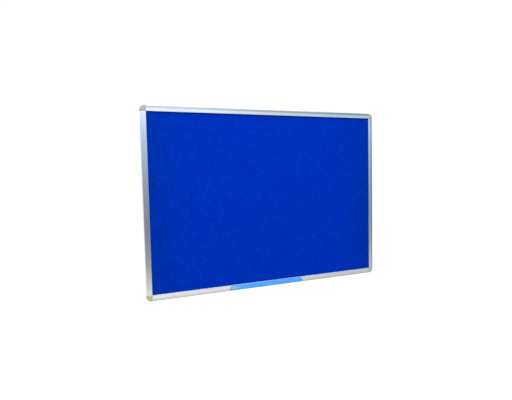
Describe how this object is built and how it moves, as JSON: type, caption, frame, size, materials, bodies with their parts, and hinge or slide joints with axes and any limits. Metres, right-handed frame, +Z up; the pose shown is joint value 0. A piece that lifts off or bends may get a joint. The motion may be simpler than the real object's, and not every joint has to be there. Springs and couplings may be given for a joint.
{
  "type": "fabric pinboard",
  "caption": "Wall-hung fabric pinboard: felt-faced panel in a slim aluminium frame with rounded, removable plastic corner covers.",
  "frame": {"origin": "centre of the board on the wall plane, the plane of the rails' rear faces", "axes": "+X along the board's width, to the right for someone facing the felt; +Y into the wall; +Z up"},
  "size_m": [0.9, 0.0133, 0.6],
  "materials": {
    "felt": "royal blue needle felt, matt, finely mottled",
    "softboard": "raw fibre softboard",
    "hardboard": "brown hardboard, smooth with a faint mesh",
    "aluminium": "satin silver anodised, drawn lengthwise",
    "corner_plastic": "beige-grey moulded plastic, fine texture",
    "screw_steel": "zinc-plated",
    "strip_film": "light-blue self-adhesive film"
  },
  "bodies": {
    "board": {"felt_face": "felt", "softboard_core": "softboard", "backing_sheet": "hardboard", "rail_top": "aluminium", "rail_bottom": "aluminium", "rail_left": "aluminium", "rail_right": "aluminium", "rail_strip": "strip_film", "corner_connector_tl": "corner_plastic", "corner_connector_tr": "corner_plastic", "corner_connector_br": "corner_plastic", "corner_connector_bl": "corner_plastic", "rail_screw_top_left": "screw_steel", "rail_screw_top_right": "screw_steel", "rail_screw_right_top": "screw_steel", "rail_screw_right_bottom": "screw_steel", "rail_screw_bottom_right": "screw_steel", "rail_screw_bottom_left": "screw_steel", "rail_screw_left_bottom": "screw_steel", "rail_screw_left_top": "screw_steel"},
    "cover_tl": {"corner_cover_tl": "corner_plastic"},
    "cover_tr": {"corner_cover_tr": "corner_plastic"},
    "cover_br": {"corner_cover_br": "corner_plastic"},
    "cover_bl": {"corner_cover_bl": "corner_plastic"}
  },
  "joints": [
    {"name": "cover_tl_pull", "type": "slide", "parent": "board", "child": "cover_tl", "axis": [0, -1, 0], "range_m": [0, 0.02]},
    {"name": "cover_tr_pull", "type": "slide", "parent": "board", "child": "cover_tr", "axis": [0, -1, 0], "range_m": [0, 0.02]},
    {"name": "cover_br_pull", "type": "slide", "parent": "board", "child": "cover_br", "axis": [0, -1, 0], "range_m": [0, 0.02]},
    {"name": "cover_bl_pull", "type": "slide", "parent": "board", "child": "cover_bl", "axis": [0, -1, 0], "range_m": [0, 0.02]}
  ]
}
